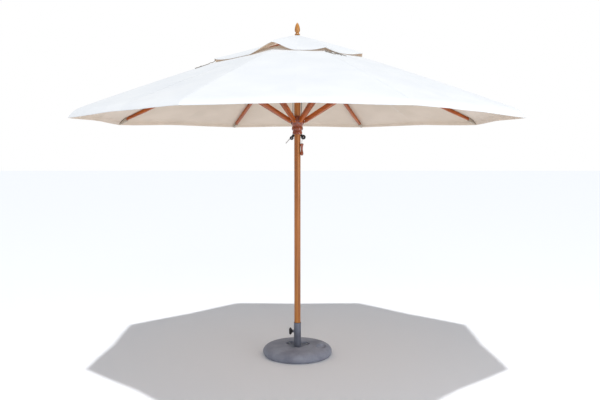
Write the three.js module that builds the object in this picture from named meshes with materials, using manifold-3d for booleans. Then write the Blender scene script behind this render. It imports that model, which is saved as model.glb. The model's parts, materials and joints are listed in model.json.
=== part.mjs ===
// Octagonal wooden market umbrella with a vented canopy, standing in a heavy dome base.
// Millimetres, +Z up. The origin is on the ground, on the pole's axis.
// Each rib is drawn in its own frame: X runs outwards along the rib, Y across it.
import * as THREE from 'three';
import { mergeVertices } from 'three/addons/utils/BufferGeometryUtils.js';
import Module from 'manifold-3d';

const wasm = await Module();
wasm.setup();

// ---- driving dimensions ----
const RIB_COUNT = 8;
const HALF_BAY = Math.PI / RIB_COUNT;
const CORNER_REACH = 1675;
const VENT_REACH = 290;
const CAP_REACH = 580;
const CAP_EDGE_REACH = 541;
const CAP_SEAT = 12;
const APEX_HEIGHT = 2462;
const CAP_APEX_HEIGHT = 2482;
const CLOTH = 1.5;
const GAP = 0.3;

const POLE_RADIUS = 24.5;
const POLE_FOOT_HEIGHT = 88;
const POLE_TOP = 2470;
const RUNNING_GAP = 0.7;

const RIB_WIDTH = 22;
const RIB_DEPTH = 30;
const RIB_END_REACH = 1608;
const RIB_DROP = 4.6;
const RIB_PIVOT_REACH = 52;
const STRUT_DEPTH = 32;
const STRUT_WIDTH = 22;
const STRUT_FOOT = new THREE.Vector2(62, 1832);
const STRUT_HEAD = new THREE.Vector2(656, 2183.5);
const SLOT_WIDTH = 23;
const PLATE = 2;

const TUBE_RADIUS = 28;
const TUBE_BORE = 26.5;
const TUBE_TOP = 255;
const BASE_RADIUS = 271;
const BASE_FOOT_RADIUS = 250;
const BASE_WAIST = 33;
const BASE_TOP = 83;
const FLANGE_BOTTOM = 66.3;
const FLANGE_THICKNESS = 6;
const BOLT_CIRCLE = 80;
const CLAMP_HEIGHT = 187;
const STUD_RADIUS = 5;

// ---- finishes ----
const finish = (color, roughness, metalness = 0) =>
  new THREE.MeshStandardMaterial({ color, roughness, metalness });
const concrete = () => finish(0x70707a, 0.75);
const steel = () => finish(0x6c6c76, 0.45, 0.8);
const zinc = () => finish(0xb8b8bc, 0.35, 0.9);
const blackPlastic = () => finish(0x1c1c1e, 0.5);
const poleWood = () => finish(0xa9653a, 0.45);
const ribWood = () => finish(0x9a4c26, 0.45);
const turnedWood = () => finish(0x6e3220, 0.35);
const finialWood = () => finish(0xc08a48, 0.4);
const canvas = () => finish(0xf2f4f8, 0.9);
const whiteRope = () => finish(0xe8e6e0, 0.9);
const blackRope = () => finish(0x26242a, 0.9);

// ---- shared mesh helpers ----
function weld(geometry) {
  const bare = geometry.clone();
  bare.deleteAttribute('normal');
  bare.deleteAttribute('uv');
  const joined = mergeVertices(bare, 1e-3);
  const index = joined.index.array;
  const kept = [];
  for (let i = 0; i < index.length; i += 3) {
    const [a, b, c] = [index[i], index[i + 1], index[i + 2]];
    if (a !== b && b !== c && c !== a) kept.push(a, b, c);
  }
  joined.setIndex(kept);
  return volumeOf(joined) < 0 ? flipped(joined) : joined;
}

function volumeOf(geometry) {
  const place = geometry.attributes.position;
  const index = geometry.index.array;
  const corner = [0, 1, 2].map(() => new THREE.Vector3());
  let sum = 0;
  for (let i = 0; i < index.length; i += 3) {
    corner.forEach((point, k) => point.fromBufferAttribute(place, index[i + k]));
    sum += corner[0].dot(corner[1].clone().cross(corner[2])) / 6;
  }
  return sum;
}

function flipped(geometry) {
  const index = geometry.index.array;
  for (let i = 0; i < index.length; i += 3) {
    [index[i], index[i + 1]] = [index[i + 1], index[i]];
  }
  return geometry;
}

function solid(geometry) {
  const joined = weld(geometry);
  const vertProperties = new Float32Array(joined.attributes.position.array);
  const triVerts = new Uint32Array(joined.index.array);
  return new wasm.Manifold(new wasm.Mesh({ numProp: 3, vertProperties, triVerts }));
}

function surface(body) {
  const mesh = body.getMesh();
  const geometry = new THREE.BufferGeometry();
  geometry.setAttribute('position', new THREE.BufferAttribute(mesh.vertProperties, 3));
  geometry.setIndex(new THREE.BufferAttribute(mesh.triVerts, 1));
  return geometry;
}

const cut = (stock, tools) =>
  surface(tools.reduce((body, tool) => body.subtract(solid(tool)), solid(stock)));
const join = (pieces) =>
  surface(pieces.slice(1).reduce((body, piece) => body.add(solid(piece)), solid(pieces[0])));

// A profile of [radius, height] pairs turned about +Z.
function turned(profile, segments = 32) {
  const points = profile.map(([radius, height]) => new THREE.Vector2(radius, height));
  return new THREE.LatheGeometry(points, segments).rotateX(Math.PI / 2);
}

// A ring profile: the same, closed on itself.
const turnedRing = (profile, segments = 32) => turned([...profile, profile[0]], segments);

// A side view drawn in the X-Z plane and given a width in Y, centred.
function plank(shape, width, curveSegments = 6) {
  const extruded = new THREE.ExtrudeGeometry(shape, { depth: width, bevelEnabled: false, curveSegments });
  return extruded.rotateX(Math.PI / 2).translate(0, width / 2, 0);
}

function box(sizeX, sizeY, sizeZ, x, y, z) {
  return new THREE.BoxGeometry(sizeX, sizeY, sizeZ).translate(x, y, z);
}

function rodX(radius, fromX, toX, z, segments = 16) {
  const rod = new THREE.CylinderGeometry(radius, radius, toX - fromX, segments);
  return rod.rotateZ(Math.PI / 2).translate((fromX + toX) / 2, 0, z);
}

function tube(points, radius, steps, sides = 4) {
  const section = new THREE.Shape();
  section.absarc(0, 0, radius, 0, 2 * Math.PI);
  const route = new THREE.CatmullRomCurve3(points.map((point) => new THREE.Vector3(...point)));
  const settings = { extrudePath: route, steps, curveSegments: sides, bevelEnabled: false };
  return new THREE.ExtrudeGeometry(section, settings);
}

// A capsule between two points of the side view.
function capsuleShape(from, to, radius) {
  const along = Math.atan2(to.y - from.y, to.x - from.x);
  const shape = new THREE.Shape();
  shape.absarc(to.x, to.y, radius, along - Math.PI / 2, along + Math.PI / 2);
  shape.absarc(from.x, from.y, radius, along + Math.PI / 2, along + 1.5 * Math.PI);
  shape.closePath();
  return shape;
}

const umbrella = new THREE.Group();

function add(name, geometry, material, parent = umbrella) {
  const mesh = new THREE.Mesh(weld(geometry), material);
  mesh.name = name;
  parent.add(mesh);
}

// ---- base ----
// The dome's upper half follows a flattened super-ellipse; the lower half tucks in to the foot.
function domeProfile() {
  const profile = [[0, 0], [BASE_FOOT_RADIUS, 0], [263, 12], [269, 22]];
  const steps = 9;
  for (let i = 0; i <= steps; i += 1) {
    const radius = BASE_RADIUS * Math.cos((i / steps) * (Math.PI / 2)) ** 0.4;
    const fullness = (1 - (radius / BASE_RADIUS) ** 8) ** (1 / 1.75);
    profile.push([i === steps ? 0 : radius, BASE_WAIST + (BASE_TOP - BASE_WAIST) * fullness]);
  }
  return profile;
}

function flangeShape(clearance) {
  const shape = new THREE.Shape();
  const reach = 97 + clearance;
  const halfCorner = (28 + clearance) / reach;
  [22, 142, 262].forEach((degrees, i) => {
    const middle = (degrees * Math.PI) / 180;
    const first = [reach * Math.cos(middle - halfCorner), reach * Math.sin(middle - halfCorner)];
    const second = [reach * Math.cos(middle + halfCorner), reach * Math.sin(middle + halfCorner)];
    if (i === 0) shape.moveTo(...first);
    else shape.lineTo(...first);
    shape.lineTo(...second);
  });
  shape.closePath();
  return shape;
}

const BOLT_ANGLES = [22, 142, 262].map((degrees) => (degrees * Math.PI) / 180);
const onBoltCircle = (geometry, angle) =>
  geometry.translate(BOLT_CIRCLE * Math.cos(angle), BOLT_CIRCLE * Math.sin(angle), 0);

function slab(shape, bottom, thickness) {
  return new THREE.ExtrudeGeometry(shape, { depth: thickness, bevelEnabled: false }).translate(0, 0, bottom);
}

// Two shallow oval hand holds, one on each side of the dome.
function handHold(angle) {
  const oval = new THREE.SphereGeometry(1, 16, 8).scale(26, 50, 26);
  return oval.translate(193, 0, 96).rotateZ(angle);
}

const pocket = slab(flangeShape(2), FLANGE_BOTTOM - GAP, 40);
const boltSockets = BOLT_ANGLES.map((angle) =>
  onBoltCircle(turned([[0, 40], [4.4, 40], [4.4, 90], [0, 90]], 8), angle));
const handHoldAngles = [-0.22, 2.79];
add('base_shell', cut(turned(domeProfile(), 48), [pocket, ...boltSockets, ...handHoldAngles.map(handHold)]),
  concrete());

function standTube() {
  const plate = slab(flangeShape(0), FLANGE_BOTTOM, FLANGE_THICKNESS);
  const wallFoot = FLANGE_BOTTOM + 2;
  const wall = turnedRing([[TUBE_BORE, wallFoot], [TUBE_RADIUS, wallFoot],
    [TUBE_RADIUS, TUBE_TOP], [TUBE_BORE, TUBE_TOP]]);
  const weldBead = turnedRing([[TUBE_RADIUS - 1, FLANGE_BOTTOM + 5], [TUBE_RADIUS + 4, FLANGE_BOTTOM + 5],
    [TUBE_RADIUS - 1, FLANGE_BOTTOM + 10]]);
  const boss = rodX(11, -34, -27, CLAMP_HEIGHT);
  const boltHoles = BOLT_ANGLES.map((angle) =>
    onBoltCircle(turned([[0, 50], [4.6, 50], [4.6, 90], [0, 90]], 12), angle));
  const studHole = rodX(STUD_RADIUS + 0.4, -40, -20, CLAMP_HEIGHT);
  return cut(join([plate, wall, weldBead, boss]), [...boltHoles, studHole]);
}
add('stand_tube', standTube(), steel());

const BUSH_BORE = POLE_RADIUS + 0.4;
add('tube_bush', turnedRing([[BUSH_BORE, TUBE_TOP - 40], [TUBE_BORE - GAP, TUBE_TOP - 40],
  [TUBE_BORE - GAP, TUBE_TOP + GAP], [TUBE_RADIUS + 0.5, TUBE_TOP + GAP],
  [TUBE_RADIUS + 0.5, TUBE_TOP + 3], [BUSH_BORE, TUBE_TOP + 3]]), blackPlastic());

function flangeBolt() {
  const headFoot = FLANGE_BOTTOM + FLANGE_THICKNESS + GAP;
  const head = new THREE.CylinderGeometry(7.5, 7.5, 5.5, 6).rotateX(Math.PI / 2).translate(0, 0, headFoot + 2.75);
  const shank = turned([[0, 42], [4, 42], [4, headFoot + 1], [0, headFoot + 1]], 8);
  return join([head, shank]);
}
BOLT_ANGLES.forEach((angle, i) => add(`flange_bolt_${i + 1}`, onBoltCircle(flangeBolt(), angle), zinc()));

// ---- clamp screw, lying along X on the left of the tube ----
const STUD_TIP = -(POLE_RADIUS + 0.5);
add('clamp_stud', rodX(STUD_RADIUS, -49.5, STUD_TIP, CLAMP_HEIGHT), zinc());

function clampKnob() {
  const lobes = 6;
  const outline = new THREE.Shape();
  const steps = 36;
  for (let i = 0; i < steps; i += 1) {
    const turn = (i / steps) * 2 * Math.PI;
    const reach = 25.5 + 3 * Math.cos(lobes * turn);
    if (i === 0) outline.moveTo(reach, 0);
    else outline.lineTo(reach * Math.cos(turn), reach * Math.sin(turn));
  }
  outline.closePath();
  const bevel = { bevelThickness: 3, bevelSize: 3, bevelOffset: -3, bevelSegments: 1 };
  const grip = new THREE.ExtrudeGeometry(outline, { depth: 13, ...bevel });
  grip.rotateY(-Math.PI / 2).translate(-50, 0, CLAMP_HEIGHT);
  const neck = rodX(12, -52, -36, CLAMP_HEIGHT);
  return cut(join([grip, neck]), [rodX(STUD_RADIUS + GAP, -50, -30, CLAMP_HEIGHT)]);
}
add('clamp_knob', clampKnob(), blackPlastic());

// ---- pole ----
add('pole_foot', turned([[0, 73], [23, 73], [24, 74], [24, POLE_FOOT_HEIGHT - GAP],
  [0, POLE_FOOT_HEIGHT - GAP]]), blackPlastic());

const ROPE_RADIUS = 2;
const ROPE_CROSSING = 2372;
const poleBody = turned([[0, POLE_FOOT_HEIGHT], [POLE_RADIUS, POLE_FOOT_HEIGHT],
  [POLE_RADIUS, POLE_TOP], [0, POLE_TOP]]);
add('pole', cut(poleBody, [rodX(ROPE_RADIUS + 3, -40, 40, ROPE_CROSSING, 12)]), poleWood());

const ROPE_LEFT = -34;
const ROPE_RIGHT = 33;
const KNOT_HEIGHT = 1886;
function liftRope() {
  const bend = 8;
  const side = (x) => [[x, 0, KNOT_HEIGHT], [x, 0, 2100], [x, 0, ROPE_CROSSING - bend]];
  const left = side(ROPE_LEFT);
  const right = side(ROPE_RIGHT).reverse();
  const crossing = [[-26, 0, ROPE_CROSSING], [0, 0, ROPE_CROSSING], [25, 0, ROPE_CROSSING]];
  const knot = (x) => turned([[0, KNOT_HEIGHT - 15], [4, KNOT_HEIGHT - 13], [5.5, KNOT_HEIGHT - 4],
    [4.5, KNOT_HEIGHT + 6], [0, KNOT_HEIGHT + 9]], 8).translate(x, 0, 0);
  return join([tube([...left, ...crossing, ...right], ROPE_RADIUS, 60), knot(ROPE_LEFT), knot(ROPE_RIGHT)]);
}
add('lift_rope', liftRope(), blackRope());

add('finial', turned([[0, POLE_TOP + GAP], [6, POLE_TOP + GAP], [6, 2484], [21, 2484], [21, 2490], [18, 2493],
  [13, 2497], [13, 2502], [17, 2507], [20.3, 2515], [20.5, 2525], [18.5, 2540], [14, 2556],
  [8, 2569], [3, 2577], [0, 2578]], 24), finialWood());

// ---- turned hubs ----
// Slots stand open outwards, upwards and downwards, one for each rib or strut.
function slots(depthRadius, bottom, top) {
  const reach = 40;
  const bays = Array.from({ length: RIB_COUNT }, (_, i) => i);
  return bays.map((i) =>
    box(reach, SLOT_WIDTH, top - bottom, depthRadius + reach / 2, 0, (top + bottom) / 2)
      .rotateZ((2 * i + 1) * HALF_BAY));
}

const HUB_BORE = POLE_RADIUS + GAP;
const hubBody = turnedRing([[HUB_BORE, 2388], [34, 2388], [36, 2396], [50, 2400], [58, 2406],
  [60, 2416], [60, 2440], [57, 2450], [45, 2455], [HUB_BORE, 2457]], 32);
add('top_hub', cut(hubBody, slots(36.4, 2380, 2470)), turnedWood());

const RUNNER_BORE = POLE_RADIUS + RUNNING_GAP;
const runnerBody = turnedRing([[RUNNER_BORE, 1728], [36, 1728], [37.5, 1731], [37.5, 1748], [35, 1752],
  [35, 1757], [41, 1760], [43.5, 1766], [43.5, 1780], [41, 1786], [39.5, 1790], [43.5, 1797],
  [50, 1812], [53.5, 1826], [53.5, 1848], [51, 1858], [46, 1865], [40, 1869],
  [RUNNER_BORE, 1869]], 32);
add('runner', cut(runnerBody, slots(45.4, 1790, 1880)), turnedWood());

// ---- pulley blocks, pull toggle and lock pin below the runner ----
const RUNNER_FOOT = 1728;
function pulley(centreX, centreZ, radius, hangerX) {
  const disc = new THREE.Shape();
  disc.absarc(centreX, centreZ, radius, 0, 2 * Math.PI);
  const cheek = plank(disc, 12, 20);
  const top = RUNNER_FOOT - GAP;
  const hanger = box(8, 8, top - centreZ, hangerX, 0, (top + centreZ) / 2);
  const grooveRadius = radius + 6;
  const groove = turnedRing([[radius - 4, -1.6], [grooveRadius, -3.2], [grooveRadius, 3.2], [radius - 4, 1.6]], 24);
  const lowerHalf = box(4 * radius, 20, 2 * radius, 0, 0, -radius - 2);
  const rope = surface(solid(groove.rotateX(Math.PI / 2)).intersect(solid(lowerHalf)));
  return cut(join([cheek, hanger]), [rope.translate(centreX, 0, centreZ)]);
}
add('pulley_left', pulley(-44, 1700, 15, -33), blackPlastic());
add('pulley_right', pulley(46, 1707, 18.5, 33), blackPlastic());

const TOGGLE_X = 34.7;
const TOGGLE_Y = -19.5;
const toggleProfile = [[0, 1565], [4, 1566], [9.5, 1570], [12, 1578], [11, 1588], [8.5, 1600],
  [7.5, 1614], [8.5, 1630], [11.5, 1644], [13, 1652], [11, 1656.5], [0, 1658]];
add('pull_toggle', turned(toggleProfile, 20).translate(TOGGLE_X, TOGGLE_Y, 0), turnedWood());
add('toggle_cord', tube([[TOGGLE_X, TOGGLE_Y, 1658.3], [TOGGLE_X, TOGGLE_Y, 1668],
  [36, -15.5, 1680], [37.5, -9.2, 1691]], 2.5, 10), whiteRope());

function lockPin() {
  const lean = 0.7;
  const length = 42;
  const shaft = turned([[0, -length], [1.2, -length], [2.5, -length + 3], [2.5, 0], [4, 1], [4, 4], [0, 5]], 12);
  return shaft.rotateY(lean).translate(-62.5, 0, 1690);
}
add('lock_pin', lockPin(), zinc());

// ---- canopy surfaces, drawn in a rib's own frame ----
// Height of the cloth above a rib at a reach from the axis: a light bow, then a droop at the corner.
function clothHeight(reach) {
  const droopStart = 1580;
  const droop = Math.max(0, (reach - droopStart) / (CORNER_REACH - droopStart)) ** 3;
  return APEX_HEIGHT - 0.322 * reach - 0.000022 * reach * reach - 33 * droop;
}

// A point of a straight hoop between two ribs; side runs from -1 to 1 between the bay middles.
function hoopPoint(reach, side, pull, lift, height) {
  const midX = (reach - pull) * Math.cos(HALF_BAY) ** 2;
  const x = THREE.MathUtils.lerp(reach, midX, Math.abs(side));
  const halfWidth = Math.max(midX * Math.tan(HALF_BAY) - 0.4, 0);
  return [x, side * halfWidth, height + lift * side * side];
}

function canopyPoint(along, side) {
  const reach = THREE.MathUtils.lerp(VENT_REACH, CORNER_REACH, along);
  const hem = along ** 6;
  return hoopPoint(reach, side, 24 * hem, 9 * hem, clothHeight(reach));
}

// The cap stands clear of the canopy over the ribs and rests on it between them.
function capPoint(along, side) {
  const reach = THREE.MathUtils.lerp(CAP_SEAT, CAP_REACH, along);
  const ridge = CAP_APEX_HEIGHT - 0.262 * (reach - CAP_SEAT);
  const scallop = CAP_REACH - CAP_EDGE_REACH;
  const valleyEnd = clothHeight(CAP_EDGE_REACH) + 2 * CLOTH + 2;
  const ridgeEnd = CAP_APEX_HEIGHT - 0.262 * (CAP_REACH - CAP_SEAT);
  const sag = (valleyEnd - ridgeEnd) * along ** 1.3;
  return hoopPoint(reach, side, scallop * along, sag, ridge);
}

// A closed sheet of cloth over a grid of points.
function clothSolid(pointAt, rows, columns) {
  const width = columns + 1;
  const count = (rows + 1) * width;
  const top = [];
  for (let row = 0; row <= rows; row += 1) {
    for (let column = 0; column <= columns; column += 1) {
      top.push(pointAt(Math.sin((row / rows) * (Math.PI / 2)), (2 * column) / columns - 1));
    }
  }
  const corners = [...top, ...top.map(([x, y, z]) => [x, y, z - CLOTH])];
  const faces = [];
  const quad = (a, b, c, d) => faces.push(a, b, c, a, c, d);
  for (let row = 0; row < rows; row += 1) {
    for (let column = 0; column < columns; column += 1) {
      const a = row * width + column;
      quad(a, a + width, a + width + 1, a + 1);
      quad(count + a, count + a + 1, count + a + width + 1, count + a + width);
    }
  }
  for (let column = 0; column < columns; column += 1) {
    const far = rows * width + column;
    quad(column, column + 1, count + column + 1, count + column);
    quad(far + 1, far, count + far, count + far + 1);
  }
  for (let row = 0; row < rows; row += 1) {
    const left = row * width;
    const right = left + columns;
    quad(left + width, left, count + left, count + left + width);
    quad(right, right + width, count + right + width, count + right);
  }
  const geometry = new THREE.BufferGeometry();
  geometry.setAttribute('position', new THREE.Float32BufferAttribute(corners.flat(), 3));
  geometry.setIndex(faces);
  return geometry;
}

// ---- one frame arm: rib, bracket, strut and its two gores ----
const ribMiddle = (reach) => clothHeight(reach) - CLOTH - RIB_DROP - RIB_DEPTH / 2;

function ribShape() {
  const shape = new THREE.Shape();
  const half = RIB_DEPTH / 2;
  const steps = 10;
  const stations = Array.from({ length: steps + 1 }, (_, i) =>
    THREE.MathUtils.lerp(RIB_PIVOT_REACH, RIB_END_REACH, i / steps));
  const slope = Math.atan(0.325);
  shape.absarc(RIB_PIVOT_REACH, ribMiddle(RIB_PIVOT_REACH), half, Math.PI / 2 - slope, 1.5 * Math.PI - slope);
  stations.slice(1).forEach((reach) => {
    const taper = reach > 1400 ? (reach - 1400) * 0.04 : 0;
    shape.lineTo(reach, ribMiddle(reach) - half + taper);
  });
  stations.slice(1).reverse().forEach((reach) => shape.lineTo(reach, ribMiddle(reach) + half));
  shape.closePath();
  return shape;
}

// An H-section hanger: two plates straddle rib and strut, and a web lies between them.
function bracket() {
  const ribPoint = new THREE.Vector2(STRUT_HEAD.x + 11, ribMiddle(STRUT_HEAD.x + 11) - 1);
  const outline = capsuleShape(STRUT_HEAD, ribPoint, 12);
  const spread = RIB_WIDTH / 2 + 0.35 + PLATE / 2;
  const plates = [-1, 1].map((side) => plank(outline, PLATE, 4).translate(0, side * spread, 0));
  const slope = Math.atan(0.322 + 0.000044 * STRUT_HEAD.x);
  const web = box(24, 2 * spread, 1.4, 0, 0, 0).rotateY(slope);
  const webDrop = RIB_DEPTH / 2 + 1.7;
  const alongRib = STRUT_HEAD.x + 6;
  web.translate(alongRib, 0, ribMiddle(alongRib) - webDrop);
  return join([plates[0], web, plates[1]]);
}

for (let i = 0; i < RIB_COUNT; i += 1) {
  const arm = new THREE.Group();
  arm.rotation.z = (2 * i + 1) * HALF_BAY - Math.PI / 2;
  const number = i + 1;
  add(`rib_${number}`, plank(ribShape(), RIB_WIDTH), ribWood(), arm);
  add(`bracket_${number}`, bracket(), zinc(), arm);
  const strut = plank(capsuleShape(STRUT_FOOT, STRUT_HEAD, STRUT_DEPTH / 2), STRUT_WIDTH);
  add(`strut_${number}`, strut, ribWood(), arm);
  add(`canopy_gore_${number}`, clothSolid(canopyPoint, 12, 2), canvas(), arm);
  add(`cap_gore_${number}`, clothSolid(capPoint, 5, 2), canvas(), arm);
  umbrella.add(arm);
}

export default umbrella;
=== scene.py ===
"""Looks of a wooden market umbrella in its dome base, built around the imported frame. Metres, +Z up."""
import json
import math

import bmesh
import bpy
from mathutils import Matrix, Vector, noise


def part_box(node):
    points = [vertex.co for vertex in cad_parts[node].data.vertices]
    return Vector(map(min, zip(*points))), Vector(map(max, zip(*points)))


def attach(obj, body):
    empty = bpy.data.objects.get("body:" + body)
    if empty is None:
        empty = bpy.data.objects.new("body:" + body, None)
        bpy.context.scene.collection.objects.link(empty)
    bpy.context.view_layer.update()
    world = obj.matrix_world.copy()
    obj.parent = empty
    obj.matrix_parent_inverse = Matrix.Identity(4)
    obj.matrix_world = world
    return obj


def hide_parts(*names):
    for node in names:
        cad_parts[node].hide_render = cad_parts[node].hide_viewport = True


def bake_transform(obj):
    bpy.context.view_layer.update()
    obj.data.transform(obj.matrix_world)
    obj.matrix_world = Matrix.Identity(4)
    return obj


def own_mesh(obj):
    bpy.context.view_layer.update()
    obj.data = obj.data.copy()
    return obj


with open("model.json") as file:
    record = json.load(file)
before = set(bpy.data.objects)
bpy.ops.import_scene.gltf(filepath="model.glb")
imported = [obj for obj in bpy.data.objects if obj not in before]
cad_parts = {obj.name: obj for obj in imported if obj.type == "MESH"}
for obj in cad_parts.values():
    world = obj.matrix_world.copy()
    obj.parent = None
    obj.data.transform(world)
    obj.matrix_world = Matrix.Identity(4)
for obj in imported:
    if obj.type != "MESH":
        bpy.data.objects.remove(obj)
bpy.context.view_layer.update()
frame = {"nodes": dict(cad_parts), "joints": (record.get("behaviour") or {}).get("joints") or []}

ARMS = range(1, 9)
HALF_BAY = math.pi / 8
JOINTS = {joint["name"]: joint for joint in frame["joints"]}
MM = 0.001

# The cloth over the ribs: reaches are measured from the pole's axis, along a rib.
CORNER_REACH = 1.675
VENT_REACH = 0.290
CAP_REACH = 0.580
CROWN_REACH = 0.160
APEX_HEIGHT = 2.462
CAP_APEX_HEIGHT = 2.482
CLOTH = 1.5 * MM
RIB_HALF_WIDTH = 11 * MM
RIB_HALF_DEPTH = 15 * MM
RIB_END = 1.642
RIB_DROP = 4.6 * MM

# Places that several pieces share: (reach, height) of a strut's foot, and heights on the pole's axis.
STRUT_FOOT = (0.062, 1.832)
ROPE_CROSSING = 2.372
KNOB_HEIGHT = 0.187


# ---- mesh helpers ----
def placed(name, data):
    """Links a new object that holds the data."""
    made = bpy.data.objects.new(name, data)
    bpy.context.scene.collection.objects.link(made)
    return made


def as_mesh(shape, name):
    """Writes a bmesh to a new mesh and frees it."""
    mesh = bpy.data.meshes.new(name)
    shape.to_mesh(mesh)
    shape.free()
    return mesh


def full_turn(count):
    """Evenly spaced angles round a full turn."""
    return [2 * math.pi * k / count for k in range(count)]


def skinned(shape, rings):
    """Joins each ring of corners to the next with faces."""
    for low, high in zip(rings, rings[1:]):
        for k in range(len(low)):
            shape.faces.new([low[k - 1], low[k], high[k], high[k - 1]])


def finished(name, mesh, materials, body, node=None):
    """Links a mesh as a piece that rides on a body and stands for its CAD node."""
    piece = placed(name, mesh)
    for material in materials:
        mesh.materials.append(material)
    if body:
        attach(piece, body)
    if node:
        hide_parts(node)
    return piece


def to_mesh(shape, name, sharp_degrees=40):
    """Turns a bmesh into a mesh with outward faces, smooth but for its sharp edges."""
    bmesh.ops.recalc_face_normals(shape, faces=shape.faces)
    limit = math.radians(sharp_degrees)
    for edge in shape.edges:
        edge.smooth = len(edge.link_faces) == 2 and edge.calc_face_angle(0) < limit
    for face in shape.faces:
        face.smooth = True
    return as_mesh(shape, name)


def lathed(profile, segments=96, centre=(0, 0), grain_start=0.0):
    """A closed bmesh turned about a vertical axis from (radius, height) pairs. Its grain runs upwards."""
    shape = bmesh.new()
    layer = shape.loops.layers.uv.new("grain")
    rings = []
    for radius, height in profile:
        if radius < 1e-6:
            rings.append([shape.verts.new((centre[0], centre[1], height))])
            continue
        rings.append([shape.verts.new((centre[0] + radius * math.cos(turn),
                                       centre[1] + radius * math.sin(turn), height))
                      for turn in full_turn(segments)])
    widest = max(radius for radius, height in profile)
    across = 2 * math.pi * widest / segments

    def face(corners, places):
        made = shape.faces.new(corners)
        for loop, place in zip(made.loops, places):
            loop[layer].uv = place

    for (low, high), (start, end) in zip(zip(rings, rings[1:]), zip(profile, profile[1:])):
        u = [grain_start + start[1], grain_start + end[1] + 0.3 * abs(end[0] - start[0])]
        for k in range(segments):
            following = (k + 1) % segments
            v = [k * across, (k + 1) * across]
            if len(low) == 1 and len(high) == 1:
                continue
            if len(low) == 1:
                face([low[0], high[k], high[following]], [(u[0], v[0]), (u[1], v[0]), (u[1], v[1])])
            elif len(high) == 1:
                face([low[k], high[0], low[following]], [(u[0], v[0]), (u[1], v[0]), (u[0], v[1])])
            else:
                face([low[k], high[k], high[following], low[following]],
                     [(u[0], v[0]), (u[1], v[0]), (u[1], v[1]), (u[0], v[1])])
    return shape


def softened(profile, radius=0.8 * MM):
    """Rounds every corner of a profile with a short chamfer arc."""
    closed = profile[0] == profile[-1]
    points = [Vector(point) for point in profile]
    result = []
    for k, point in enumerate(points):
        before = points[k - 1] if k else (points[-2] if closed else None)
        after = points[k + 1] if k + 1 < len(points) else (points[1] if closed else None)
        if before is None or after is None or point.x < 1e-6:
            result.append(tuple(point))
            continue
        into, out = before - point, after - point
        cut = min(radius, into.length * 0.4, out.length * 0.4)
        start, end = point + into.normalized() * cut, point + out.normalized() * cut
        result += [tuple(start), tuple((start + end + 2 * point) / 4), tuple(end)]
    if closed:
        result.append(result[0])
    return result


def ring(profile, segments=96, grain_start=0.0):
    """A turned ring from a closed profile."""
    shape = lathed(softened(profile + [profile[0]])[:-1], segments, grain_start=grain_start)
    bmesh.ops.remove_doubles(shape, verts=shape.verts, dist=1e-6)
    return shape


def prism(outline, half_width, bevel=1.5 * MM, grain_start=0.0):
    """A plank from a side outline of (x, z) pairs, centred on Y, with eased edges and grain along X."""
    shape = bmesh.new()
    near = [shape.verts.new((x, -half_width, z)) for x, z in outline]
    far = [shape.verts.new((x, half_width, z)) for x, z in outline]
    count = len(outline)
    shape.faces.new(near)
    shape.faces.new(far[::-1])
    rims = []
    for k in range(count):
        face = shape.faces.new([near[k], near[k - 1], far[k - 1], far[k]])
        rims += [edge for edge in face.edges if len({v.co.y for v in edge.verts}) == 1]
    bmesh.ops.recalc_face_normals(shape, faces=shape.faces)
    if bevel:
        bmesh.ops.bevel(shape, geom=list(set(rims)), offset=bevel, segments=2, profile=0.6, affect="EDGES")
    layer = shape.loops.layers.uv.new("grain")
    for face in shape.faces:
        side = abs(face.normal.y) > 0.7
        for loop in face.loops:
            x, y, z = loop.vert.co
            loop[layer].uv = (grain_start + x, z if side else y + 0.05)
    return shape


def capsule(start, end, radius, steps=14):
    """The outline of a bar with round ends between two (x, z) points."""
    along = math.atan2(end[1] - start[1], end[0] - start[0])
    points = []
    for centre, first in ((end, along - math.pi / 2), (start, along + math.pi / 2)):
        for k in range(steps + 1):
            turn = first + math.pi * k / steps
            points.append((centre[0] + radius * math.cos(turn), centre[1] + radius * math.sin(turn)))
    return points


def block(size, centre):
    """A box bmesh."""
    shape = bmesh.new()
    bmesh.ops.create_cube(shape, size=1, matrix=Matrix.Translation(centre) @ Matrix.Diagonal((*size, 1)))
    return shape


def rod(radius, start, end, segments=48):
    """A closed cylinder between two points."""
    start, end = Vector(start), Vector(end)
    turn = (end - start).to_track_quat("Z", "Y").to_matrix().to_4x4()
    shape = lathed(softened([(0, 0), (radius, 0), (radius, (end - start).length), (0, (end - start).length)],
                            min(0.6 * MM, radius / 4)), segments)
    shape.transform(Matrix.Translation(start) @ turn)
    return shape


def scratch(shape, name):
    """A helper object for a cut, from a closed bmesh."""
    bmesh.ops.recalc_face_normals(shape, faces=shape.faces)
    return placed(name, as_mesh(shape, name))


def carved(stock, tools, joined=()):
    """A bmesh with other closed bmeshes joined to it and then cut from it."""
    body = scratch(stock, "stock")
    helpers = [(scratch(tool, "join"), "UNION") for tool in joined]
    helpers += [(scratch(tool, "tool"), "DIFFERENCE") for tool in tools]
    for helper, operation in helpers:
        modifier = body.modifiers.new("cut", "BOOLEAN")
        modifier.object = helper
        modifier.operation = operation
        modifier.solver = "EXACT"
    bpy.context.view_layer.update()
    evaluated = body.evaluated_get(bpy.context.evaluated_depsgraph_get())
    result = bmesh.new()
    mesh = bpy.data.meshes.new_from_object(evaluated)
    result.from_mesh(mesh)
    bpy.data.meshes.remove(mesh)
    for piece in [body] + [helper for helper, operation in helpers]:
        bpy.data.objects.remove(piece)
    return result


def merged(shapes):
    """Several bmeshes gathered in one."""
    total = bmesh.new()
    for shape in shapes:
        part = as_mesh(shape, "part")
        total.from_mesh(part)
        bpy.data.meshes.remove(part)
    return total


def arm_turn(number):
    """The turn about +Z that takes a rib's own frame to its place."""
    return Matrix.Rotation((2 * number - 1) * HALF_BAY - math.pi / 2, 4, "Z")


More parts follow.
